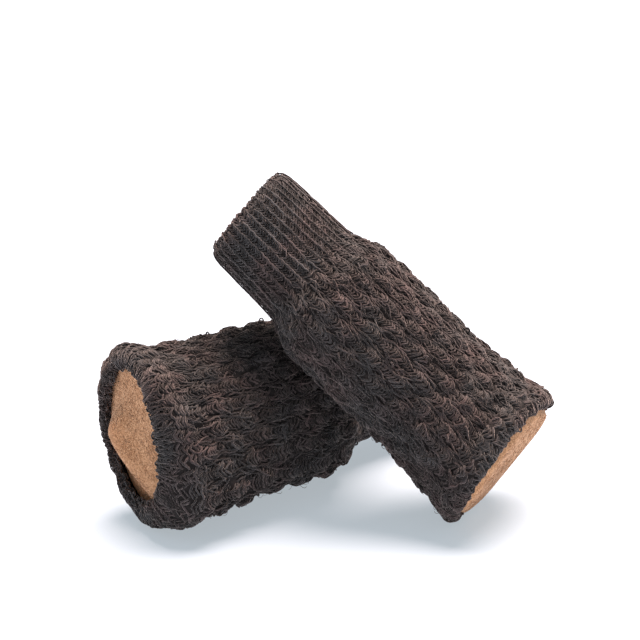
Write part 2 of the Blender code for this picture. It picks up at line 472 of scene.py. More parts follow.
def yarn_material(name, shades, cool_shades, plies=3.0, twist_mm=1.1, sheen=0.35):
    """Soft spun yarn: plies twisted round each tube, stray fibre streaks and slow changes of shade."""
    n = Nodes(name)
    place = n.node("UVMap", uv_map="yarn").outputs["UV"]
    split = n.node("SeparateXYZ")
    n.put(place, split.inputs[0])
    along = n.math("MULTIPLY", split.outputs["X"], TAU / twist_mm)
    around = n.math("MULTIPLY", split.outputs["Y"], TAU * plies)
    ply = n.math("SINE", n.math("ADD", along, around))
    streak = n.noise(n.scaled(place, (0.45, 2.6, 1.0)), 2.0, 3.0, 0.6)
    where = n.place()
    shade = n.noise(where, 150.0, 3.0, 0.6)
    fine = n.noise(where, 1500.0, 2.0, 0.6)
    strand = n.node("TexWhiteNoise", noise_dimensions="1D")
    n.put(n.math("FLOOR", n.math("DIVIDE", split.outputs["X"], STRAND_STEP)), strand.inputs["W"])
    own = strand.outputs["Value"]
    mix = n.weighted((ply, 0.05), (streak, 0.42), (shade, 0.28), (fine, 0.10), (own, 0.26))
    stops = (0.30, 0.52, 0.80)
    warm = n.ramp(mix, list(zip(stops, shades)))
    cool = n.ramp(mix, list(zip(stops, cool_shades)))
    tint = n.node("Mix", data_type="RGBA")
    # a colour Mix node's inputs 0, 6 and 7 are its factor and two colours, and output 2 the result
    patches = n.noise(where, 90.0, 2.0, 0.6)
    n.put(n.ramp(patches, [(0.38, (0.0, 0.0, 0.0)), (0.62, (1.0, 1.0, 1.0))]), tint.inputs[0])
    n.put(cool, tint.inputs[6])
    n.put(warm, tint.inputs[7])
    colour = tint.outputs[2]
    fuzz = n.math("ADD", n.math("MULTIPLY", ply, 0.5), streak)
    rough = n.level(streak, 0.20, 0.72)
    return n.finish(
        Base_Color=colour,
        Roughness=rough,
        Normal=n.bump(fuzz, 0.06 * MM, 0.8),
        Specular_IOR_Level=0.28,
        Sheen_Weight=sheen,
        Sheen_Roughness=0.42,
        Sheen_Tint=(0.86, 0.72, 0.66, 1.0),
    )


def ground_material(name, dark, middle):
    """The knit's inside, behind the loops: fine matted fibre, coloured darker than the loops as painted shade
    in the gaps.
    """
    n = Nodes(name)
    where = n.place()
    matted = n.noise(where, 900.0, 4.0, 0.65)
    colour = n.ramp(matted, [(0.35, dark), (0.70, middle)])
    return n.finish(
        Base_Color=colour,
        Roughness=n.level(matted, 0.1, 0.88),
        Normal=n.bump(matted, 0.2 * MM, 0.8),
        Specular_IOR_Level=0.2,
        Sheen_Weight=0.2,
        Sheen_Roughness=0.5,
    )


def felt_material(name, dark, middle, light):
    """Pressed wool felt: tangled short fibres, light and dark tan."""
    n = Nodes(name)
    where = n.place()
    warp = n.node("TexNoise")
    n.put(where, warp.inputs["Vector"])
    warp.inputs["Scale"].default_value = 260.0
    bend = n.node("VectorMath", operation="SCALE")
    n.put(warp.outputs["Color"], bend.inputs[0])
    bend.inputs["Scale"].default_value = 1.6 * MM
    bent = n.node("VectorMath", operation="ADD")
    n.put(where, bent.inputs[0])
    n.put(bend.outputs[0], bent.inputs[1])
    bent = bent.outputs[0]
    one = n.noise(n.scaled(bent, (1.0, 0.6, 1.6)), 2600.0, 2.0, 0.6)
    two = n.noise(n.scaled(bent, (1.6, 1.3, 0.7)), 2200.0, 2.0, 0.6)
    wide = n.noise(where, 190.0, 2.0, 0.5)
    mix = n.weighted((one, 0.5), (two, 0.5))
    mix = n.math("ADD", mix, n.math("MULTIPLY", n.math("SUBTRACT", wide, 0.5), 0.16))
    colour = n.ramp(mix, [(0.36, dark), (0.50, middle), (0.64, light)])
    return n.finish(
        Base_Color=colour,
        Roughness=n.level(wide, 0.1, 0.88),
        Normal=n.bump(mix, 0.09 * MM, 0.6),
        Specular_IOR_Level=0.2,
        Sheen_Weight=0.25,
        Sheen_Roughness=0.5,
        Sheen_Tint=(1.0, 0.86, 0.74, 1.0),
    )


def film_material(name):
    """Dried glue, a little yellow and uneven."""
    n = Nodes(name)
    where = n.place()
    blot = n.noise(where, 240.0, 3.0, 0.6)
    return n.finish(
        Base_Color=n.ramp(blot, [(0.3, (0.50, 0.42, 0.26)), (0.7, (0.70, 0.62, 0.44))]),
        Roughness=n.level(blot, 0.25, 0.3),
        Normal=n.bump(blot, 0.2 * MM, 0.6),
    )


def elastic_material(name):
    """Ribbed woven elastic: dark threads over rubber cores."""
    n = Nodes(name)
    where = n.place()
    fine = n.noise(where, 2100.0, 2.0, 0.6)
    rib = n.node("TexWave", wave_type="BANDS", bands_direction="DIAGONAL")
    n.put(where, rib.inputs["Vector"])
    rib.inputs["Scale"].default_value = 420.0
    rib.inputs["Distortion"].default_value = 0.6
    mix = n.weighted((rib.outputs["Fac"], 0.6), (fine, 0.5))
    return n.finish(
        Base_Color=n.ramp(mix, [(0.25, (0.010, 0.008, 0.008)), (0.9, (0.055, 0.043, 0.040))]),
        Roughness=n.level(fine, 0.2, 0.55),
        Normal=n.bump(mix, 0.15 * MM, 0.8),
    )


YARN_COOL = ((0.011, 0.0115, 0.0125), (0.031, 0.0310, 0.0330), (0.105, 0.100, 0.103))
YARN_WARM = ((0.013, 0.0105, 0.0105), (0.040, 0.0295, 0.0295), (0.150, 0.102, 0.099))


def brighter(shades, by):
    return tuple(tuple(by * part for part in shade) for shade in shades)


body_yarn = yarn_material("body_yarn", brighter(YARN_WARM, 0.93), brighter(YARN_COOL, 0.90), sheen=0.55)
# the cuff's yarn uses the body's shades painted lighter (1.28 against 0.93): painted light for the lit cuff
cuff_yarn_painted_light = yarn_material("cuff_yarn_painted_light", brighter(YARN_WARM, 1.28), brighter(YARN_COOL, 1.28), 2.0, 0.9, 0.5)
lining_yarn = yarn_material("lining_yarn", YARN_WARM, YARN_COOL, 2.0, 0.9, 0.3)
# the ground yarn is the knit's own inner yarn, painted far darker than the yarn as painted shade in the gaps
# and inside the sock
ground_yarn_and_shade = ground_material("ground_yarn_and_shade", (0.008, 0.0065, 0.0065), (0.022, 0.017, 0.016))
# the backing is the inner yarn behind the body and cuff loops, painted darker than the yarn as painted shade
# in the gaps between the loops
backing = ground_material("backing", (0.013, 0.0105, 0.0105), (0.034, 0.027, 0.026))
felt = felt_material("pad_felt", (0.27, 0.125, 0.056), (0.58, 0.300, 0.155), (0.82, 0.500, 0.295))
FIBRES = ((0.42, 0.20, 0.10), (0.62, 0.34, 0.19), (0.84, 0.56, 0.36))
felt_fibre = yarn_material("felt_fibre", FIBRES, FIBRES, 1.0, 2.0, 0.3)
adhesive = film_material("dried_glue")
elastic = elastic_material("ribbed_elastic")


# ---------------------------------------------------------------- knit
def grid(*sides):
    return [a.ravel() for a in np.meshgrid(*sides, indexing="ij")]


def ground_shell(name, surface, round_count, rows, height, under, back):
    """The ground behind a field of stitches: a closed sleeve that follows the knit's height."""
    a = (np.arange(round_count) / round_count)[:, None]
    b = np.linspace(0.0, surface.length, rows)[None, :]
    outer, _ = surface.at(a, b, height(a, b) - under)
    inner, _ = surface.at(a, b, np.full((1, 1), -back))
    return shell(name, outer, inner)


def free_places(surface, v_from, v_to, count, others, apart):
    """Random places on a surface, without those near the other sock or the floor."""
    rng = surface.sock.rng
    s, v = rng.random(count), rng.uniform(v_from, v_to, count)
    spot, _ = surface.at(s, v, np.zeros(count))
    free = np.array([np.linalg.norm(others - p, axis=1).min() > apart for p in spot])
    free &= spot[:, 2] > 2.0 * MM
    return s[free], v[free]


def bump_field(sock, s, v):
    """The raised pattern: -1 in a hollow to 1 on a bump. Neighbouring columns are half a period apart."""
    column = BODY_COLUMNS * s - 0.5
    along = TAU * (v / BUMP_PERIOD + 0.10 * sock.phase(s, v))
    return np.cos(math.pi * column) * np.cos(along)


def relief(sock, s, v, amount):
    """How far the body knit's surface lies under its highest line."""
    raised = smoothstep(-0.8, 0.6, bump_field(sock, s, v))
    ridge = 0.5 + 0.5 * np.cos(TAU * (BODY_COLUMNS * s - 0.5))
    soft = 0.30 * MM * (sock.sag(s, v) - 1.0)
    return soft - amount * (BUMP_DEPTH * (1.0 - raised) + COLUMN_DEPTH * (1.0 - ridge))


def stitches(tubes, surface, s0, v0, half, rise, radius, sink, steps, sides, height, flip=1.0, uneven=0.10):
    """V-shaped loops with the point towards the felt end.

    radius and sink are one length or one for each loop, and flip -1 turns the points round.
    """
    rng = surface.sock.rng
    count = len(s0)
    radius, sink = np.broadcast_to(radius, count), np.broadcast_to(sink, count)
    t = np.linspace(-1.0, 1.0, steps)[None, :]
    skew = rng.normal(0.0, uneven, (count, 1))
    bow = rng.uniform(0.8, 1.15, (count, 1))
    across = half[:, None] * (t + 0.04 * np.sin(math.pi * t))
    up = rise[:, None] * (np.abs(t) ** bow * (1.0 + 0.8 * skew * t) - 0.5)
    girth = surface.sock.girth * np.maximum(surface.radius(v0), 5 * MM)
    s = s0[:, None] + across / girth[:, None]
    v = v0[:, None] + flip * up
    dive = np.abs(t) ** 3
    lift = rng.normal(0.0, 0.10 * MM, (count, 1)) + rng.normal(0.0, 0.10 * MM, (count, 1)) * t
    h = height(s, v) - radius[:, None] - sink[:, None] * dive - 0.20 * MM * (1 - np.abs(t)) + lift
    points, normals = surface.at(s, v, h)
    tubes.add(points, normals, radius * rng.uniform(0.86, 1.16, count), sides, 0.45)


def spread(columns, v_from, v_to, row, rng, uneven):
    """Column and row numbers of a field of stitches, and where each one stands along the sock."""
    rows = int(round((v_to - v_from) / row))
    i, j = grid(np.arange(columns), np.arange(rows))
    v = v_from + (j + 0.5 * (i % 2) + rng.normal(0.0, uneven, len(j))) * row
    return i, j, v


def knit_body(sock, surface, v_from, v_to):
    """The relief knit, in two pieces, the ground behind it, and the height of its surface."""
    rng = sock.rng
    i, j, v = spread(BODY_COLUMNS, v_from, v_to, BODY_ROW, rng, 0.16)
    s = (i + 0.5) / BODY_COLUMNS + 0.10 * sock.wander(i / BODY_COLUMNS, v) / BODY_COLUMNS
    field = bump_field(sock, s, v)
    pitch = sock.girth * surface.radius(v) / BODY_COLUMNS
    z = surface.height(v)
    bare = smoothstep(64 * MM, 71 * MM, z)
    half = 0.5 * pitch * (0.74 + 0.08 * field + 0.18 * bare) * rng.uniform(0.72, 1.25, len(v))
    rise = (1.95 + 0.25 * field) * MM * rng.uniform(0.60, 1.40, len(v))
    radius = BODY_YARN * (1.0 + 0.08 * field)

    def height(a, b):
        return relief(sock, a, b, fade(b))

    def fade(b):
        z = surface.height(b)
        return 0.35 + 0.65 * smoothstep(4 * MM, 13 * MM, z) * (1.0 - 0.75 * smoothstep(67 * MM, 77 * MM, z))

    made = []
    for part, name in ((j % 2 == 0, "body_knit_even"), (j % 2 == 1, "body_knit_odd")):
        tubes = Tubes()
        stitches(
            tubes, surface, s[part], v[part], half[part], rise[part], radius[part], BODY_SINK,
            BODY_STEPS, BODY_SIDES, height, 1.0, BODY_UNEVEN,
        )
        made.append(tubes.build(f"{sock.name}_{name}"))
    made.append(ground_shell(
        f"{sock.name}_body_ground", surface, 6 * BODY_COLUMNS, BODY_GROUND_ROWS, height,
        BODY_GROUND_UNDER, BODY_GROUND_BACK,
    ))
    return made, height


def body_floats(sock, surface, height, v_from, v_to):
    """Long strands that run along the hollows between the bumps, in two pieces."""
    rng = sock.rng
    periods = int((v_to - v_from) / BUMP_PERIOD)
    i, j, k = grid(np.arange(BODY_COLUMNS), np.arange(2 * periods), np.arange(FLOATS_PER_PLACE))
    keep = rng.random(len(i)) < FLOATS_KEPT
    i, j, k = i[keep], j[keep], k[keep]
    count = len(i)
    mid = v_from + (j + 0.5 + rng.normal(0, 0.25, count)) * 0.5 * BUMP_PERIOD
    s0 = (i + 1.0 + rng.normal(0, 0.04, count) + 0.062 * (k - FLOATS_PER_PLACE // 2)) / BODY_COLUMNS
    length = rng.uniform(3.0, 6.8, count) * MM
    t = np.linspace(-1, 1, 9)[None, :]
    turn = rng.normal(0, 0.09, (count, 1)) + 0.07 * rng.choice([-1.0, 1.0], (count, 1))
    s = s0[:, None] + (turn * t + 0.06 * np.sin(2.5 * t + k[:, None])) / BODY_COLUMNS
    v = np.clip(mid[:, None] + 0.5 * length[:, None] * t, v_from, v_to)
    radius = rng.uniform(0.19, 0.25, count) * MM
    above = rng.uniform(-0.50, 0.02, (count, 1)) * MM
    h = height(s, v) + above - 0.9 * MM * np.abs(t) ** 5
    points, normals = surface.at(s, v, h)
    made = []
    for part, name in ((k % 2 == 0, "floats_even"), (k % 2 == 1, "floats_odd")):
        tubes = Tubes()
        tubes.add(points[part], normals[part], radius[part], 5, 0.4)
        made.append(tubes.build(f"{sock.name}_{name}"))
    return made


def loose_loops(sock, surface, height, v_from, v_to, count, others):
    """Small curls of yarn that stand a little out of the knit."""
    rng = sock.rng
    tubes = Tubes()
    s0, v0 = free_places(surface, v_from, v_to, count, others, 4.5 * MM)
    count = len(s0)
    t = np.linspace(-1, 1, 12)[None, :]
    heading = rng.uniform(0, TAU, (count, 1))
    span = rng.uniform(0.5, 1.2, (count, 1)) * MM
    rise = rng.uniform(0.2, 0.8, (count, 1)) * MM
    bulge = rng.uniform(1.0, 1.5, (count, 1))
    along = span * np.sin(0.5 * math.pi * t) * (1.0 + (bulge - 1.0) * (1 - t**2))
    girth = (sock.girth * surface.radius(v0))[:, None]
    s = s0[:, None] + along * np.cos(heading) / girth + 0.3 * span * t**2 * np.sin(heading) / girth
    v = np.clip(v0[:, None] + along * np.sin(heading), v_from, v_to)
    h = height(s0[:, None], v0[:, None]) - 0.9 * MM + (rise + 0.9 * MM) * np.cos(0.5 * math.pi * t) ** 0.8
    points, normals = surface.at(s, v, h)
    sideways = np.cross(normals, sock.axis)
    tubes.add(points, unit(sideways + 0.3 * normals), rng.uniform(0.18, 0.28, count) * MM, 5, 0.5)
    return tubes.build(f"{sock.name}_loose_loops")


def fuzz(sock, surface, height, v_from, v_to, count, others):
    """Stray fibres."""
    rng = sock.rng
    tubes = Tubes()
    s0, v0 = free_places(surface, v_from, v_to, count, others, 4.0 * MM)
    count = len(s0)
    t = np.linspace(0, 1, 6)[None, :]
    heading = rng.uniform(0, TAU, (count, 1))
    curl = rng.normal(0, 1.2, (count, 1))
    length = rng.uniform(1.0, 2.4, (count, 1)) * MM
    girth = (sock.girth * surface.radius(v0))[:, None]
    s = s0[:, None] + length * np.cos(heading + curl * t) * t / girth
    v = np.clip(v0[:, None] + length * np.sin(heading + curl * t) * t, v_from, v_to)
    h = height(s0[:, None], v0[:, None]) - 0.5 * MM + rng.uniform(0.5, 1.3, (count, 1)) * MM * np.sin(t * 2.2)
    points, normals = surface.at(s, v, h)
    sideways = unit(np.cross(normals, sock.axis) + 0.4 * normals)
    tubes.add(points, sideways, rng.uniform(0.04, 0.07, count) * MM, 3, 0.5)
    return tubes.build(f"{sock.name}_fuzz")


def knit_rim(sock, surface, cover):
    """The body's stitches carried on over the rolled edge, with uneven loops along its inner side."""
    rng = sock.rng
    tubes = Tubes()
    length = surface.length
    i, _, v = spread(RIM_COLUMNS, 0.3 * MM, length - 0.3 * MM, RIM_ROW, rng, 0.2)
    s = (i + 0.5 + 0.12 * rng.normal(0, 1, len(v))) / RIM_COLUMNS
    pitch = sock.girth * surface.radius(v) / RIM_COLUMNS
    half = 0.54 * pitch * rng.uniform(0.85, 1.15, len(v))
    rise = 1.55 * MM * rng.uniform(0.7, 1.35, len(v))

    def height(a, b):
        lump = np.cos(TAU * (0.5 * BODY_COLUMNS * a + 0.3 * sock.phase(a, b)) + 3.0 * b / length)
        flat = 0.28 * MM * (lump - 1.0) + 0.30 * MM * (sock.sag(a, 2 * b) - 1.0)
        turn = sock.angle(a)
        over = 0.0
        for middle, width, amount in cover:
            over = over + amount * np.exp((np.cos(turn - middle) - 1.0) / width**2)
        return flat + over * (1.0 - smoothstep(0.10, 0.34, b / length))

    stitches(tubes, surface, s, v, half, rise, RIM_YARN, RIM_SINK, 10, 5, height)
    # loose curls along the inner side
    count = RIM_CURLS
    s0 = rng.random((count, 1))
    t = np.linspace(-1, 1, 10)[None, :]
    span = rng.uniform(0.5, 1.3, (count, 1)) * MM
    reach = rng.uniform(0.4, 1.5, (count, 1)) * MM
    girth = sock.girth * surface.radius(1 * MM)
    around = s0 + (span * t + rng.normal(0, 0.3, (count, 1)) * MM * t**2) / girth
    along = rng.uniform(0.2, 3.4, (count, 1)) * MM + 0.5 * span * t**2
    lift = height(around, along) - 0.7 * MM + reach * (1 - t**2)
    points, normals = surface.at(around, along, lift)
    out = unit(np.cross(normals, points - sock.origin))
    tubes.add(points, unit(out + 0.2 * normals), rng.uniform(0.22, 0.30, count) * MM, 5, 0.5)
    # overcast strands that run across the roll
    count = RIM_STRANDS
    t = np.linspace(0, 1, 12)[None, :]
    along = rng.uniform(0.0, 3.5, (count, 1)) * MM + rng.uniform(3.5, 7.5, (count, 1)) * MM * t
    drift = rng.normal(0, 1.1, (count, 1)) * t + 0.16 * np.sin(5.0 * t + rng.uniform(0, TAU, (count, 1)))
    around = rng.random((count, 1)) + drift * MM / girth
    lift = height(around, along) + rng.uniform(-0.22, 0.12, (count, 1)) * MM
    lift = lift - 0.8 * MM * np.abs(2 * t - 1) ** 5
    points, normals = surface.at(around, along, lift)
    tubes.add(points, normals, rng.uniform(0.17, 0.25, count) * MM, 5, 0.5)
    loops = tubes.build(f"{sock.name}_rim_knit")
    return loops, ground_shell(
        f"{sock.name}_rim_core", surface, *RIM_GROUND_GRID, height, RIM_GROUND_UNDER, RIM_GROUND_BACK
    )


def knit_cuff(sock, surface, v_from, v_to, v_lip):
    """The fine knit of the cuff with strands along its ribs, and the ground behind it."""
    rng = sock.rng
    i, j, v = spread(CUFF_COLUMNS, v_from, v_to, CUFF_ROW, rng, 0.08)
    s = (i + 0.5) / CUFF_COLUMNS + 0.05 * sock.wander(i / CUFF_COLUMNS, v) / CUFF_COLUMNS
    pitch = sock.girth * surface.radius(v) / CUFF_COLUMNS
    half = 0.50 * pitch * rng.uniform(0.88, 1.08, len(v))
    rise = 1.35 * MM * rng.uniform(0.75, 1.25, len(v))

    def height(a, b):
        ridge = np.cos(TAU * CUFF_COLUMNS * a)
        at_lip = np.exp(-(((b - v_lip) / (1.6 * MM)) ** 2))
        return (0.20 + 0.06 * at_lip) * MM * (ridge - 1.0) + 0.16 * MM * (sock.sag(a, b) - 1.0)

    tubes = Tubes()
    stitches(tubes, surface, s, v, half, rise, CUFF_YARN, CUFF_SINK, 10, 5, height)
    pieces = int((v_lip - v_from) / CUFF_SPINE)
    i, j = grid(np.arange(CUFF_COLUMNS), np.arange(pieces))
    count = len(i)
    t = np.linspace(-1, 1, 13)[None, :]
    mid = v_from + (j + 0.5 + 0.5 * (i % 2) + rng.normal(0, 0.15, count)) * CUFF_SPINE
    b = np.clip(mid[:, None] + 0.62 * CUFF_SPINE * t, v_from, v_lip - 1.2 * MM - 0.2 * MM * np.abs(t))
    sway = 0.05 * np.sin(TAU * b / CUFF_ROW) + rng.normal(0, 0.03, (count, 1))
    sway = sway + rng.normal(0, 0.06, (count, 1)) * t
    a = (i[:, None] + 1.0 + sway) / CUFF_COLUMNS
    points, normals = surface.at(a, b, height(a, b) + 0.10 * MM - 0.45 * MM * t**6)
    tubes.add(points, normals, rng.uniform(0.20, 0.26, count) * MM, 5, 0.5)
    knit = tubes.build(f"{sock.name}_cuff_knit")
    return knit, ground_shell(
        f"{sock.name}_cuff_ground", surface, 3 * CUFF_COLUMNS, CUFF_GROUND_ROWS, height,
        CUFF_GROUND_UNDER, CUFF_GROUND_BACK,
    )


def knit_lining(sock, surface, v_knit):
    """The lining as seen through the mouth: loops near the mouth, and a ribbed shell all the way down."""
    rng = sock.rng
    i, _, v = spread(LINING_COLUMNS, 1.0 * MM, v_knit, LINING_ROW, rng, 0.1)
    s = (i + 0.5) / LINING_COLUMNS
    pitch = sock.girth * surface.radius(v) / LINING_COLUMNS
    half = 0.52 * pitch * rng.uniform(0.93, 1.08, len(v))
    rise = 0.95 * MM * rng.uniform(0.8, 1.2, len(v))

    def height(a, _):
        ridge = np.cos(TAU * (LINING_COLUMNS * a - 0.5))
        return 0.16 * MM * (ridge - 1.0)

    tubes = Tubes()
    stitches(tubes, surface, s, v, half, rise, LINING_YARN, LINING_SINK, 8, 4, height, -1.0)
    knit = tubes.build(f"{sock.name}_lining_knit")

    def ribbed(a, b):
        chevron = b / LINING_ROW + 0.5 * np.abs(np.sin(math.pi * LINING_COLUMNS * a))
        return height(a, b) + 0.10 * MM * np.cos(TAU * chevron)

    return knit, ground_shell(
        f"{sock.name}_lining_ground", surface, 4 * LINING_COLUMNS, LINING_GROUND_ROWS, ribbed,
        LINING_GROUND_UNDER, LINING_GROUND_BACK,
    )


def knit_sole(sock):
    """The knitted disc that closes the tube: rows of loops on a thin ground."""
    heights, radii = sock.ring_radii("sole_knit")
    low, high, reach = heights.min(), heights.max(), radii.max()
    rng = sock.rng
    tubes = Tubes()
    xs = np.arange(-reach, reach, SOLE_ROW)
    ys = np.arange(-reach * sock.oval, reach * sock.oval, SOLE_COLUMN)
    x, y = grid(xs, ys)
    inside = np.hypot(x, y / sock.oval) < reach - 1.4 * MM
    x, y = x[inside], y[inside]
    t = np.linspace(-1, 1, 7)[None, :]
    px = x[:, None] + 0.9 * MM * (np.abs(t) - 0.5) + rng.normal(0, 0.06 * MM, (len(x), 1))
    py = y[:, None] + 0.52 * SOLE_COLUMN * t
    pz = high - 0.30 * MM - 0.35 * MM * t**4 + 0 * px
    points = sock.world(px, py, pz)
    tubes.add(points, np.broadcast_to(sock.axis, points.shape), np.full(len(x), SOLE_YARN), 4, 0.5)
    loops = tubes.build(f"{sock.name}_sole_loops")
    x, y = round_grid(PLATE_GRID)
    edge = reach - 0.25 * MM
    x, y = edge * x, sock.oval * edge * y
    upper = sock.world(x, y, high - 0.55 * MM + 0 * x)
    lower = sock.world(x, y, low + 0.05 * MM + 0 * x)
    return loops, disc(f"{sock.name}_sole_ground", upper, lower)


def round_grid(count):
    """Places that fill a unit circle evenly, as two square grids."""
    across = np.linspace(-1.0, 1.0, count)
    a, b = np.meshgrid(across, across, indexing="ij")
    return a * np.sqrt(1.0 - 0.5 * b**2), b * np.sqrt(1.0 - 0.5 * a**2)


def disc(name, upper, lower):
    """A closed round plate from two square grids of points; upper is the side towards the cuff."""
    k = len(upper)
    points = np.concatenate([upper.reshape(-1, 3), lower.reshape(-1, 3)])
    points[:, 2] = np.maximum(points[:, 2], FLOOR_CLEAR)
    a = np.arange(k * k).reshape(k, k)
    b = a + k * k
    edge = np.concatenate([a[:-1, 0], a[-1, :-1], a[:0:-1, -1], a[0, :0:-1]])
    after = np.roll(edge, -1)
    quads = [
        np.stack([a[:-1, :-1], a[1:, :-1], a[1:, 1:], a[:-1, 1:]], -1).reshape(-1, 4),
        np.stack([b[:-1, :-1], b[:-1, 1:], b[1:, 1:], b[1:, :-1]], -1).reshape(-1, 4),
        np.stack([edge, edge + k * k, after + k * k, after], -1),
    ]
    return make_object(name, points, quads)


def felt_front(sock, x, y, reach, shape):
    """Height along the axis of the felt's face at a place on it; less is further out."""
    crown, power, edge, crease, fold = shape
    rho = np.clip(np.hypot(x, y / sock.oval) / reach, 0.0, 1.0)
    z = edge - crown * (1.0 - rho**power)
    if crease is not None:
        (x0, y0), (x1, y1) = crease
        dx, dy = x1 - x0, y1 - y0
        size = math.hypot(dx, dy)
        beyond = ((x - x0) * dy - (y - y0) * dx) / size
        along = ((x - x0) * dx + (y - y0) * dy) / size**2
        ends = 1.0 - smoothstep(0.92, 1.30, along)
        z = z + 1.6 * ends * 0.5 * (beyond + np.hypot(beyond, 0.8 * MM))
        z = z - fold * np.exp(-((beyond / (7.0 * MM)) ** 2)) * smoothstep(-0.3, 0.9, along) * ends
    z = z + 1.1 * MM * smoothstep(0.93, 1.0, rho) ** 2
    return z


def felt_pad(sock, shape):
    """The pad with its uneven face, and the short fibres that lie on it."""
    heights, radii = sock.ring_radii("felt_pad")
    back, reach = heights.max(), radii.max()
    rng = sock.rng
    x, y = round_grid(FELT_GRID)
    x, y = reach * x, sock.oval * reach * y

    def face(px, py):
        return np.minimum(felt_front(sock, px, py, reach, shape), back - 0.5 * MM)

    rough = np.zeros(x.shape)
    for _ in range(FELT_WAVES):
        kx, ky = rng.normal(0, 1.0 / (1.1 * MM), 2)
        rough += np.cos(kx * x + ky * y + rng.uniform(0, TAU)) / 5.0
    z = face(x, y) + 0.025 * MM * rough
    front = sock.world(x, y, z)
    behind = sock.world(x, y, back + 0 * z)
    pad = disc(f"{sock.name}_felt", behind, front)
    tubes = Tubes()
    count = FELT_FIBRES
    where, out = rng.uniform(0, TAU, (count, 1)), np.sqrt(rng.random((count, 1))) * 0.97 * reach
    t = np.linspace(-1, 1, 6)[None, :]
    heading, curl = rng.uniform(0, TAU, (count, 1)), rng.normal(0, 0.8, (count, 1))
    half = rng.uniform(0.4, 1.1, (count, 1)) * MM
    px = out * np.cos(where) + half * t * np.cos(heading + curl * t)
    py = sock.oval * out * np.sin(where) + half * t * np.sin(heading + curl * t)
    inside = (np.hypot(px, py / sock.oval) < 0.985 * reach).all(1)
    px, py, t2 = px[inside], py[inside], np.broadcast_to(t, px.shape)[inside]
    pz = face(px, py) - 0.035 * MM + 0.12 * MM * t2**4
    points = sock.world(px, py, pz)
    out_way = np.broadcast_to(-sock.axis, points.shape)
    tubes.add(points, out_way, rng.uniform(0.028, 0.045, len(points)) * MM, 3, 0.4)
    return pad, tubes.build(f"{sock.name}_felt_fibres")


def glue_film(sock):
    """The thin layer that holds the pad, following the felt end's slant."""
    heights, radii = sock.ring_radii("adhesive_film")
    x, y = round_grid(PLATE_GRID)
    edge = radii.max() - 0.6 * MM
    x, y = edge * x, sock.oval * edge * y
    upper = sock.world(x, y, heights.max() + 0 * x)
    lower = sock.world(x, y, heights.min() + 0 * x)
    return disc(f"{sock.name}_glue", upper, lower)


def elastic_ring(sock, outside):
    """The ribbed band between the cuff's two layers."""
    heights, _ = sock.ring_radii("cuff_elastic")
    a = np.linspace(0, TAU, 6 * CUFF_COLUMNS, endpoint=False)[:, None]
    z = np.linspace(heights.min(), heights.max() - 0.5 * MM, ELASTIC_ROWS)[None, :]
    rib = 0.05 * MM * np.cos(CUFF_COLUMNS * a)
    layers = []
    for depth in ELASTIC_DEPTHS:
        r = outside - depth + rib + 0 * z
        layers.append(sock.world(r * np.cos(a), sock.oval * r * np.sin(a), z + 0 * a))
    return shell(f"{sock.name}_elastic_band", *layers)


# ---------------------------------------------------------------- each sock
def finish_piece(obj, sock, material, replaces=()):
    """Gives a piece its material, hides the CAD nodes it stands for and attaches it to its body."""
    obj.data.materials.append(material)
    if replaces:
        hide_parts(*[f"{sock.name}_{n}" for n in replaces])
    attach(obj, f"{sock.name}_sock")


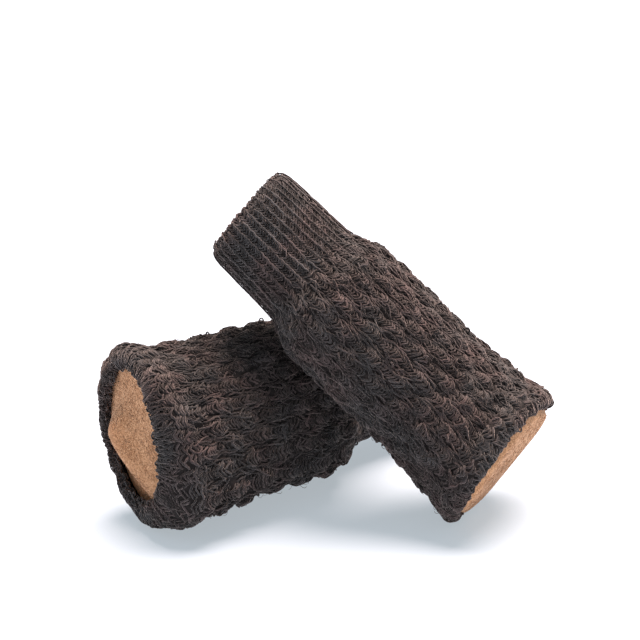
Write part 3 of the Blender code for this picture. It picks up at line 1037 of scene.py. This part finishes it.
def dress(sock, other, face, proud, over_pad, cover):
    """All the visible pieces of one sock.

    face is the felt's shape, proud how far the rim stands out in front, over_pad how far it covers
    the pad's edge, and cover where it bulges over the pad: (angle, width, amount) for each place.
    """
    z_sleeve, r_sleeve = sock.ring_radii("outer_sleeve")
    z_cuff, r_cuff = sock.ring_radii("cuff_welt")
    z_rim, r_rim = sock.ring_radii("rim_roll")
    z_in, r_in = sock.ring_radii("inner_liner", False)
    rim_out, rim_back = r_rim.max(), z_rim.max()
    bore = sock.ring_radii("felt_pad")[1].max()
    near_nodes = ("outer_sleeve", "cuff_welt", "rim_roll")
    others = np.concatenate([node_points(f"{other}_{node}") for node in near_nodes])

    # the rolled rim: from beside the pad, over the front, to where it meets the body
    turn = np.linspace(math.radians(-150), math.radians(62), 30)
    mid_r, mid_z = 0.5 * (bore - over_pad + rim_out), 0.5 * (rim_back - proud)
    half_r, half_z = rim_out - mid_r, mid_z + proud
    rim_profile = [(mid_r + half_r * math.cos(a), mid_z + half_z * math.sin(a)) for a in turn]
    rim_surface = Surface(sock, rim_profile)

    # the body: from under the roll to inside the cuff's first rows
    keep = z_sleeve > rim_back - 1 * MM
    body_profile = [(r_sleeve[keep][0] + 0.9 * MM, 3.2 * MM), (r_sleeve[keep][0] + 0.8 * MM, 7 * MM)]
    body_profile += list(zip(r_sleeve[keep], z_sleeve[keep]))
    body_profile.append((r_cuff[0] + 0.2 * MM, z_cuff[0] + 2.5 * MM))
    body_surface = Surface(sock, body_profile)
    made, height = knit_body(sock, body_surface, 0.0, body_surface.length)
    for piece in made:
        ground = piece.name.endswith("ground")
        finish_piece(piece, sock, backing if ground else body_yarn, ["outer_sleeve"])
    for piece in body_floats(sock, body_surface, height, 2 * MM, body_surface.length - 4 * MM):
        finish_piece(piece, sock, body_yarn)
    end = body_surface.length
    loops = loose_loops(sock, body_surface, height, 1 * MM, end - 3 * MM, LOOSE_LOOPS, others)
    finish_piece(loops, sock, body_yarn)
    stray = fuzz(sock, body_surface, height, 1 * MM, end, STRAY_FIBRES, others)
    finish_piece(stray, sock, body_yarn)

    loops, core = knit_rim(sock, rim_surface, cover)
    finish_piece(loops, sock, body_yarn, ["rim_roll"])
    finish_piece(core, sock, ground_yarn_and_shade)

    # the cuff: outside, over the lip and a little way down inside
    lip_out, lip_in = r_cuff[-1] + CUFF_FLARE, r_in[-1] + CUFF_FLARE
    lip = 0.5 * (lip_out - lip_in)
    top = z_cuff.max()
    cuff_profile = [
        (r_cuff[0] + 0.5 * MM, z_cuff[0] - 3.5 * MM),
        (r_cuff[0] + 0.25 * MM, z_cuff[0] + 1 * MM),
        (r_cuff[0], z_cuff[0] + 5 * MM),
        (lip_out, top - 5.0 * MM),
        (lip_out - 0.3 * MM, top - 3.2 * MM),
        (lip_out - 0.8 * MM, top - 1.9 * MM),
    ]
    for a in np.linspace(0.1, math.pi, 14):
        cuff_profile.append((lip_out - CUFF_TUCK - lip + lip * math.cos(a), top - lip + lip * math.sin(a)))
    cuff_profile += [(lip_in - CUFF_TUCK, top - lip - 1.5 * MM), (lip_in, top - lip - 4.5 * MM)]
    cuff_surface = Surface(sock, cuff_profile)
    v_lip = cuff_surface.v_at_height(top)
    knit, ground = knit_cuff(sock, cuff_surface, 0.0, cuff_surface.length, v_lip)
    finish_piece(knit, sock, cuff_yarn_painted_light, ["cuff_welt"])
    finish_piece(ground, sock, backing)

    inside = z_in < top - lip - 5 * MM
    lining_profile = list(zip(r_in[inside], z_in[inside]))[::-1]
    mouth = [(lip_in - CUFF_TUCK, top - lip - 1 * MM), (lip_in, top - lip - 4.5 * MM)]
    lining_profile = mouth + lining_profile
    lining_surface = Surface(sock, lining_profile)
    knit, ground = knit_lining(sock, lining_surface, LINING_KNIT_LENGTH)
    finish_piece(knit, sock, lining_yarn, ["inner_liner"])
    finish_piece(ground, sock, ground_yarn_and_shade)

    loops, ground = knit_sole(sock)
    finish_piece(loops, sock, lining_yarn, ["sole_knit"])
    finish_piece(ground, sock, ground_yarn_and_shade)

    pad, fibres = felt_pad(sock, face)
    finish_piece(pad, sock, felt, ["felt_pad"])
    finish_piece(fibres, sock, felt_fibre)

    finish_piece(glue_film(sock), sock, adhesive, ["adhesive_film"])
    finish_piece(elastic_ring(sock, r_cuff[-1]), sock, elastic, ["cuff_elastic"])


# the way the felt ends slant, as a rough direction towards the photograph's camera
TOWARDS = np.array([-0.70, -0.63, 0.34])
LEANING_SLANT = 0.36
LYING_SLANT = -0.16

lying = Sock("lying", 11)
leaning = Sock("leaning", 29)


def slanted(sock, amount):
    return (amount * float(TOWARDS @ sock.wide), amount * float(TOWARDS @ sock.narrow))


leaning.slant = slanted(leaning, LEANING_SLANT)
leaning.one_sided = True
leaning.ridge = LEANING_SLANT * 6 * MM
leaning.twist = 0.21 / (15 * MM)
leaning.tilt = 0.12
leaning.fall = 0.35
leaning.mouth = 0.11
lying.slant = slanted(lying, LYING_SLANT)
lying.push((0, 0, 1), 4 * MM, 13 * MM, (0, 0, -1.8 * MM))
lying.push((0, 0, 1), 24 * MM, 10 * MM, (0, 0, -1.6 * MM))
lying.slump = 4.5
lying.settle = 0.65 * MM
lying.near = math.copysign(1.0, float(TOWARDS @ lying.narrow))
lying_crease = ((-18.5 * MM, 2.4 * MM), (1.0 * MM, -10.0 * MM))
lying_cover = (
    (0.5 * math.pi * lying.near, 0.75, 2.8 * MM),
    (-0.75 * lying.near, 0.35, 2.4 * MM),
    (math.pi - 0.15 * lying.near, 0.4, 2.0 * MM),
    (-2.3 * lying.near, 0.5, 0.8 * MM),
)
# each felt face: crown, power, edge, crease and fold, as felt_front takes them
lying_face = (1.0 * MM, 2.2, 1.9 * MM, lying_crease, 5.0 * MM)
leaning_face = (1.3 * MM, 6.0, -0.1 * MM, None, 0.0)
dress(lying, "leaning", lying_face, proud=1.3 * MM, over_pad=2.2 * MM, cover=lying_cover)
dress(leaning, "lying", leaning_face, proud=0.0, over_pad=1.0 * MM, cover=())


# ---------------------------------------------------------------- floor, light and camera
FLOOR_GLOW = 0.46
FILL_STRENGTH = 0.38
KEY_STRENGTH = 9.6
KEY_ANGLE = 46.0
KEY_SHINES = (-0.33, -0.16, -1.0)


def stage_floor():
    n = Nodes("floor_paper")
    where = n.place()
    faint = n.noise(where, 3.0, 2.0, 0.5)
    n.finish(
        Base_Color=n.ramp(faint, [(0.3, (0.36, 0.42, 0.49)), (0.7, (0.38, 0.44, 0.50))]),
        Roughness=0.95,
        Specular_IOR_Level=0.1,
        Emission_Color=(0.86, 0.94, 1.0, 1.0),
        Emission_Strength=FLOOR_GLOW,
    )
    bpy.ops.mesh.primitive_plane_add(size=14.0, location=(0.0, 0.0, 0.0))
    floor = bpy.context.object
    floor.name = "floor"
    floor.data.materials.append(n.material)


stage_floor()
world = bpy.data.worlds.new("studio")
bpy.context.scene.world = world
world.use_nodes = True
fill = world.node_tree.nodes["Background"].inputs
fill["Color"].default_value = (0.88, 0.94, 1.0, 1.0)
fill["Strength"].default_value = FILL_STRENGTH


lamp = bpy.data.lights.new("key", "SUN")
lamp.energy = KEY_STRENGTH
lamp.angle = math.radians(KEY_ANGLE)
lamp.color = (1.0, 0.80, 0.71)
key = add_object("key", lamp)
key.rotation_euler = Vector(KEY_SHINES).to_track_quat("-Z", "Y").to_euler()

camera_data = bpy.data.cameras.new("camera")
camera_data.lens = LENS_MM
camera_data.sensor_width = SENSOR_MM
camera_data.clip_start = 0.01
camera_data.clip_end = 50.0
camera = add_object("camera", camera_data)
camera.location = CAMERA_AT
camera.rotation_euler = (Vector(CAMERA_LOOKS_AT) - Vector(CAMERA_AT)).to_track_quat("-Z", "Y").to_euler()
bpy.context.scene.camera = camera
bpy.context.scene.view_settings.view_transform = "Standard"
